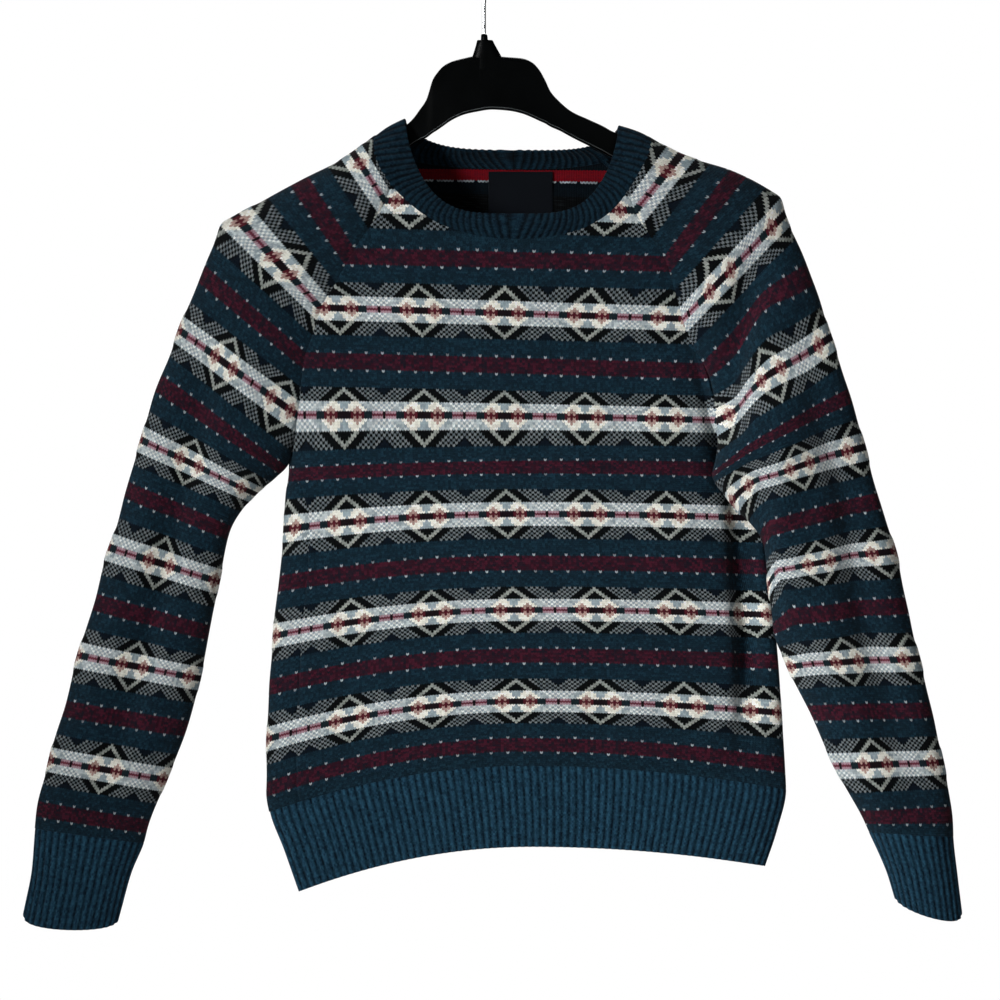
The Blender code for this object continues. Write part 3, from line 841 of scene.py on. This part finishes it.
# How deep each crease is (a trough is negative), how wide, and the points, seen from the front, that it
# runs through.
creases = {
    "front": (
        (-1.8, 26, [(120, -250), (60, -330), (40, -420)]),
        (-8.0, 11, [(215, -400), (228, -520), (236, -640), (232, -735)]),
        (-13.0, 14, [(186, -290), (202, -360), (212, -420), (218, -500)]),
        (-2.0, 22, [(-150, -470), (-130, -560), (-120, -660)]),
        (1.6, 24, [(-60, -600), (-40, -700), (-46, -745)]),
        (-1.6, 20, [(100, -600), (110, -690), (104, -745)]),
    ),
    "back": (
        (-1.6, 26, [(150, -300), (70, -400), (40, -520)]),
        (-1.4, 24, [(-110, -330), (-60, -430), (-40, -540)]),
        (-2.2, 16, [(190, -480), (200, -600), (196, -720)]),
        (-1.7, 18, [(-120, -560), (-110, -660), (-118, -740)]),
        (1.3, 20, [(20, -620), (34, -700), (30, -745)]),
    ),
    "right": (
        (-12.0, 18, [(-235, -330), (-268, -470), (-296, -600), (-330, -720), (-356, -780)]),
        (2.0, 12, [(-200, -420), (-236, -520), (-250, -600)]),
    ),
    "left": (
        (-13.0, 19, [
            (278, -330), (304, -430), (328, -500), (338, -590), (362, -680), (381, -752), (387, -800),
        ]),
        (6.0, 14, [(266, -430), (266, -520), (278, -610)]),
        (-12.0, 15, [(246, -270), (232, -330), (218, -390), (222, -450)]),
    ),
}


# The two-yarn bands are thicker than the plain ground, to so many courses from their middle.
plump = {"courses": 6.5, "softness": 0.6}


def bandPlump(course):
    half = chart["halfHeight"]
    near = np.abs((course + half) % (2 * half) - half)
    return 1 / (1 + np.exp((near - plump["courses"]) / plump["softness"]))


def makeKnit(piece):
    tube = piece in sleeves
    grid, placer = (sleeveGrid, sleevePlacer) if tube else (panelGrid, panelPlacer)
    columns, rows = grid["columns"], grid["rows"][piece]
    node = "sleeve_" + piece if tube else piece
    made = newGrid(knitName(node), columns, rows, placer(piece))
    if piece == "right":
        made.data.flip_normals()
    points, facing = coordinates(made.data), directions(made.data)
    across = np.tile(np.linspace(0, 1, columns + 1), rows + 1)
    fromSeam = np.minimum(across, 1 - across)
    nearSeam = np.clip(fromSeam * grid["plumpIn"], 0, 1)
    # the side edges turn in a little at the seam
    relief = -seamEdge["dip"] * np.exp(-((fromSeam * grid["span"] / seamEdge["width"]) ** 2))
    relief += grid["bandPlump"] * bandPlump(stitchesOf(made.data)[:, 1]) * nearSeam
    # a sleeve's creases are shallower behind
    front, back = (np.clip(facing[:, 1] * turn * 1.5, 0, 1) for turn in (-1, 1))
    relief += creaseRelief(points, creases[piece]) * (front + back * 0.7 if tube else nearSeam)
    wavy = unevenness(points, grid["seed"] + len(piece), grid["waviness"])
    relief += wavy * np.clip(fromSeam * grid["wavesIn"], 0, 1)
    moveTo(made, points + facing * relief[:, None])
    if tube:
        joinDoubles(made)
    finishCloth(made, garment["panelWall"], 0.5, (knitOutside, knitInside))
    return handOver(made, node)


frontKnit, backKnit = makeKnit("front"), makeKnit("back")
sleevePieces = {side: makeKnit(side) for side in sleeves}


ribGrid = {
    "rows": 30, "perRib": 6, "stitches": 4, "relief": 1.0, "front": 65, "back": 70, "right": 34, "left": 28,
}
ribbing = ribFinish("ribbing", ribGrid["stitches"], light=1.08)


def ribWave(stitches, period):
    # flat-topped ridges with a narrow channel between
    turn = np.cos(2 * math.pi * stitches / period)
    return np.tanh(1.8 * turn) / math.tanh(1.8) * 0.5 + 0.5


def makeRib(piece):
    tube, ribs = piece in sleeves, ribGrid[piece]
    edge, node = ("cuff", "cuff_" + piece) if tube else ("hem", "hem_rib_" + piece)
    low, high = garment[edge], garment[edge + "RibTop"]

    def pointOf(course, across):
        return sleevePoint(piece, course, across) if tube else trunkPoints[piece](course, across)

    # ribs of one width, as measured along the middle course
    dense = np.linspace(0, 1, 1201)
    run = runAlong(pointOf(np.full_like(dense, (low + high) / 2), dense))

    def place(across, share):
        course = low + (high - low) * share
        evened = np.interp(across * run[-1], run, dense)
        return pointOf(course, evened), beside(across * ribs * ribGrid["stitches"], course)

    made = newGrid(knitName(node), ribs * ribGrid["perRib"], ribGrid["rows"], place)
    if piece == "right":
        made.data.flip_normals()
    if tube:
        joinDoubles(made)
    relief = (ribWave(stitchesOf(made.data)[:, 0], ribGrid["stitches"]) - 1) * ribGrid["relief"]
    finishCloth(made, garment["ribWall"] - garment["channel"], 0.9, (ribbing, ribbing), relief)
    return handOver(made, node)


hemFront, hemBack = makeRib("front"), makeRib("back")
cuffs = {side: makeRib(side) for side in sleeves}


def neckRing():
    # the neck edge, once round: front, left sleeve, back and right sleeve
    across = np.linspace(0, 1, 200)
    edges = [
        trunkPoint(neckCourse("front", across), across),
        sleevePoint("left", neckCourse("sleeve", across), across),
        backPoint(neckCourse("back", across), across),
        sleevePoint("right", neckCourse("sleeve", across), across)[::-1],
    ]
    return np.vstack([edge[:-1] for edge in edges] + [edges[0][:1]])


# painted shade: the collar's copy of the rib yarn is much darker than the hem's
collarRibbingPaintedShade = ribFinish("collarRibbingPaintedShade", collar["stitches"], light=0.40)


def makeCollar():
    ring = neckRing()
    lengths = runAlong(ring)
    low, high = ring.min(axis=0), ring.max(axis=0)
    middle, half = (high + low) / 2, (high - low) / 2

    def outerEdge(across):
        return pointsAt(across * lengths[-1], lengths, ring)

    # the way that each place of the outer edge faces, evened out over the seams' corners
    dense = np.linspace(0, 1, 4001)
    shares = (outerEdge(dense[:-1]) - middle) / half
    angle = np.unwrap(np.arctan2(shares[:, 1], shares[:, 0]))
    turn, reach = 2 * math.pi, collar["evening"]
    angle = np.concatenate([angle[-reach:] - turn, angle, angle[:reach] + turn])
    angle = np.convolve(angle, np.full(2 * reach + 1, 1 / (2 * reach + 1)), "valid")
    c, s = np.cos(angle), np.sin(angle)
    depth = np.where(s > 0, collar["back"], collar["front"])
    dip = np.where(s > 0, collar["backDip"], collar["frontDip"])
    innerRing = beside(
        collar["middleX"] + collar["halfWidth"] * signedPower(c, 0.5),
        collar["middleY"] + depth * signedPower(s, 0.5),
        collar["sideZ"] - collar["tilt"] * c - dip * np.abs(s) ** 1.4,
    )
    innerRing = np.vstack([innerRing, innerRing[:1]])
    # ribs are spaced halfway between facing the outer edge and evenly along the inner one
    innerRun = runAlong(innerRing)
    innerRun /= innerRun[-1]
    evened = (innerRun + dense) / 2

    def place(across, share):
        outer = outerEdge(across)
        inner = pointsAt(np.interp(across, dense, evened), innerRun, innerRing)
        out = (outer - middle) * (1, 1, 0)
        out /= np.linalg.norm(out, axis=1)[:, None]
        # its outer edge runs on under the panels
        share = share * (1 + collar["under"]) - collar["under"]
        points = outer + (inner - outer) * share[:, None]
        points += out * collar["crown"] * np.sin(math.pi * share)[:, None]
        return points, beside(across * collar["ribs"] * collar["stitches"], share * 16 + 100)

    made = newGrid("collarRibKnit", collar["ribs"] * collar["perRib"], collar["rows"], place)
    joinDoubles(made)
    relief = (ribWave(stitchesOf(made.data)[:, 0], collar["stitches"]) - 1) * collar["relief"]
    finishCloth(made, garment["collarWall"] - garment["channel"], 1.0, (collarRibbingPaintedShade,) * 2, relief)
    return handOver(made, "neck_rib")


collarRib = makeCollar()


# The label sewn to the inside of the back, with nothing on it.
label = {
    "middleX": 33, "width": 58, "top": -203, "height": 38, "inset": 0.5, "slack": 0.8,
    "wall": 0.7, "thread": 0.4,
}


def backInside(x, z, inset):
    # points in front of the back's inner face, at places seen from the front
    course = np.full_like(x, garment["backNeckCorner"] - garment["backNeckDrop"])
    across = np.full_like(x, 0.5)
    for _ in range(12):
        point = backPoint(course, across)
        course += (z - point[:, 2]) / 2
        across -= (x - point[:, 0]) / panelGrid["span"]
    return point - np.array([0, garment["panelWall"] + inset, 0])


def makeLabel():
    def place(across, share):
        x = label["middleX"] + label["width"] * (across - 0.5)
        z = label["top"] - label["height"] * (1 - share)
        # it is sewn along its edges and stands off a little between them
        slack = label["slack"] * np.sin(math.pi * across) * np.sin(math.pi * share)
        points = backInside(x, z, label["inset"])
        points[:, 1] -= slack
        return points, beside(x, z) / label["thread"]

    made = newGrid("labelPatch", 48, 32, place)
    finishCloth(made, -label["wall"], 0.15, (labelWeave, labelWeave))
    return handOver(made, "neck_label")


labelPatch = makeLabel()


# The moulding's outline between the arms, seen from the front.
hangerNeck = table(
    "x top bottom",
    (-71, -163, -186), (-64, -156.5, -180), (-58, -148.5, -176.5), (-52, -139.5, -173.5),
    (-46, -121, -169), (-42, -115, -166.5), (-37, -109.5, -163), (-29, -105, -157.5),
    (-18, -102, -152.5), (-7, -100, -150), (7, -100, -148), (22, -101, -149), (34, -102, -151.5),
    (43, -105.5, -155), (49.5, -112, -158), (55, -121.5, -160.5), (60, -132, -163.5),
    (68, -141, -167), (79, -150, -173), (94, -157, -180.5), (107, -163, -187), (116, -168, -192),
)
hanger = {
    "armCourses": (8, 12, 18, 25, 33, 42, 51, 59), "shoulderInset": 5, "collarInset": 6.5,
    "tipHeight": 17, "neckHeight": 27, "stepsPerSpan": 6,
    # the arm's section up its front: from which edge (0 the underside), how far in, how deep
    "section": (
        (0, 0, 4.2), (0, 0.3, 5.0), (0, 0.9, 5.5), (0, 1.5, 5.5), (0, 2.4, 4.6), (0, 3.2, 4.3),
        (1, 4.0, 4.3), (1, 1.8, 4.1), (1, 0.6, 3.2), (1, 0, 1.6),
    ),
    # which step of the section gets the painted highlight
    "paintedHighlightSlope": 3.5,
    # the hub's rings from its foot up: middle, half width, half depth, height
    "hub": (
        (2.8, 14.5, 4.9, -112), (2.7, 13.4, 4.9, -101), (2.3, 11.6, 4.8, -97), (1.4, 8.6, 4.5, -90),
        (0.9, 7.2, 4.3, -86.2), (0.8, 6.6, 4.1, -85.6), (0.4, 3.2, 2.9, -85.4), (0.2, 2.9, 2.8, -81.4),
        (0.0, 2.2, 2.2, -80.3), (0.0, 0.6, 0.6, -80.0),
    ),
}


def armStations(side):
    # the arm under a shoulder: its top and bottom edge from the tip in to the neck
    course = np.array(hanger["armCourses"], float)
    row, ahead = rowAt(sleeves[side], course), rowAt(sleeves[side], course + 1)
    along = beside(ahead["outerX"] - row["outerX"], ahead["outerZ"] - row["outerZ"])
    along /= np.linalg.norm(along, axis=1)[:, None]
    inward = beside(along[:, 1], -along[:, 0]) * (1 if side == "right" else -1)
    share = (course - course[0]) / (course[-1] - course[0])
    inset = hanger["shoulderInset"] + (hanger["collarInset"] - hanger["shoulderInset"]) * share**4
    top = beside(row["outerX"], row["outerZ"]) + inward * inset[:, None]
    height = hanger["tipHeight"] + (hanger["neckHeight"] - hanger["tipHeight"]) * share
    return np.stack([top, top - beside(0 * height, height)], 1)


def makeHanger():
    neck = np.stack([beside(hangerNeck["x"], hangerNeck[edge]) for edge in ("top", "bottom")], 1)
    stations = np.concatenate([armStations("right"), neck, armStations("left")[::-1]])
    spans = len(stations) - 1
    section = hanger["section"]
    loop = [(end, inward, -deep) for end, inward, deep in section]
    loop += [(end, inward, deep) for end, inward, deep in section[::-1]]
    loop = np.array(loop + loop[:1], float)

    def place(across, share):
        where = across * spans
        top, bottom = (
            beside(*(smoothCurve(where, np.arange(spans + 1.0), line) for line in stations[:, edge].T))
            for edge in (0, 1)
        )
        height = np.linalg.norm(top - bottom, axis=1)
        end, inward, deep = loop[np.round(share * (len(loop) - 1)).astype(int)].T
        up = np.where(end > 0.5, height - inward, inward) / height
        x, z = (bottom + (top - bottom) * up[:, None]).T
        return beside(x, deep, z), beside(across, share)

    made = newGrid("hangerMoulding", spans * hanger["stepsPerSpan"], len(loop) - 1, place)
    made.data.materials.append(plastic)
    made.data.materials.append(rimPaintedHighlight)
    # painted highlight: the slope above the rim along the underside gets the lighter plastic, where light
    # from above catches it
    for face in made.data.polygons:
        around = sum(made.data.uv_layers[0].data[k].uv[1] for k in face.loop_indices) / 4 * (len(loop) - 1)
        face.material_index = int(abs(around - hanger["paintedHighlightSlope"]) < 0.3)
    joinDoubles(made)
    editWhole(lambda: bpy.ops.mesh.fill_holes(sides=0), turnOutwards)

    rings = hanger["hub"]
    middle, halfWidth, halfDepth, height = rings[0]
    foot = (middle * mm, 0, height * mm)
    bpy.ops.object.select_all(action="DESELECT")
    bpy.ops.mesh.primitive_circle_add(vertices=40, radius=halfWidth * mm, fill_type="NGON")
    hub = bpy.context.object
    bpy.ops.object.mode_set(mode="EDIT")
    bpy.ops.mesh.select_all(action="SELECT")
    bpy.ops.transform.translate(value=foot)
    bpy.ops.transform.resize(value=(1, halfDepth / halfWidth, 1), center_override=foot)
    for below, above in zip(rings, rings[1:]):
        move = [(above[0] - below[0]) * mm, 0, (above[3] - below[3]) * mm]
        bpy.ops.mesh.extrude_region_move(TRANSFORM_OT_translate={"value": move})
        grow = (above[1] / below[1], above[2] / below[2], 1)
        bpy.ops.transform.resize(value=grow, center_override=(above[0] * mm, 0, above[3] * mm))
    bpy.ops.object.mode_set(mode="OBJECT")
    editWhole(turnOutwards)

    pick(made)
    modify(made, "BOOLEAN", operation="UNION", solver="EXACT", object=hub)
    bpy.data.objects.remove(hub)
    bpy.ops.object.shade_smooth_by_angle(angle=math.radians(32))
    return handOver(made, "hanger")


hangerMoulding = makeHanger()


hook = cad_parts["hanger_hook"].data
hook.materials.clear()
hook.materials.append(steel)


studio = {"floorZ": -0.99, "floorRadius": 0.68, "backdrop": 1.0, "ambient": 0.12}


def addStage():
    bpy.ops.object.select_all(action="DESELECT")
    bpy.ops.mesh.primitive_circle_add(vertices=96, radius=studio["floorRadius"], fill_type="NGON")
    floor = bpy.context.object
    floor.name = "floor"
    bpy.ops.object.mode_set(mode="EDIT")
    bpy.ops.transform.translate(value=(0, 0, studio["floorZ"]))
    bpy.ops.object.mode_set(mode="OBJECT")
    finish = Finish("floorPaper", 0.9)
    finish.shader.inputs["Base Color"].default_value = (0.93, 0.93, 0.93, 1)
    floor.data.materials.append(finish.material)


def addLight(name, place, size, power, aim=(0.02, 0, -0.5), spread=180):
    lamp = bpy.data.lights.new(name, "AREA")
    lamp.energy = power
    lamp.size = size
    lamp.spread = math.radians(spread)
    made = bpy.data.objects.new(name, lamp)
    bpy.context.collection.objects.link(made)
    made.location = place
    away = np.array(place, float) - np.array(aim, float)
    flat = math.hypot(away[0], away[1])
    made.rotation_euler = (math.atan2(flat, away[2]), 0, math.atan2(away[0], -away[1]))


addStage()
lamps = (
    # name, place, size, power, and for a narrow one what it aims at and its spread
    ("keyHigh", (-2.6, -3.0, 0.6), 0.6, 1.6, (0.22, 0, -0.38), 22),
    ("keyLow", (-2.6, -3.0, -0.3), 0.6, 1.6, (0.22, 0, -0.72), 22),
    ("fillLight", (1.2, -3.8, 0.2), 2.0, 7),
    ("topLight", (0, -0.6, 2.6), 1.6, 5),
    ("backLight", (0.5, 3.5, 1.0), 2.5, 60),
)
for lamp in lamps:
    addLight(*lamp)


def addWorld():
    # the backdrop is white, and lights the cloth only a little
    world = bpy.data.worlds.new("studio")
    world.use_nodes = True
    tree = world.node_tree
    mixed = tree.nodes.new("ShaderNodeMixShader")
    seen = tree.nodes.new("ShaderNodeLightPath").outputs["Is Camera Ray"]
    tree.links.new(seen, mixed.inputs[0])
    for strength, entry in (("ambient", 1), ("backdrop", 2)):
        white = tree.nodes.new("ShaderNodeBackground")
        white.inputs["Color"].default_value = (1, 1, 1, 1)
        white.inputs["Strength"].default_value = studio[strength]
        tree.links.new(white.outputs[0], mixed.inputs[entry])
    tree.links.new(mixed.outputs[0], tree.nodes["World Output"].inputs["Surface"])
    bpy.context.scene.world = world


addWorld()
bpy.context.scene.view_settings.view_transform = "Standard"
print("stage and lights set")
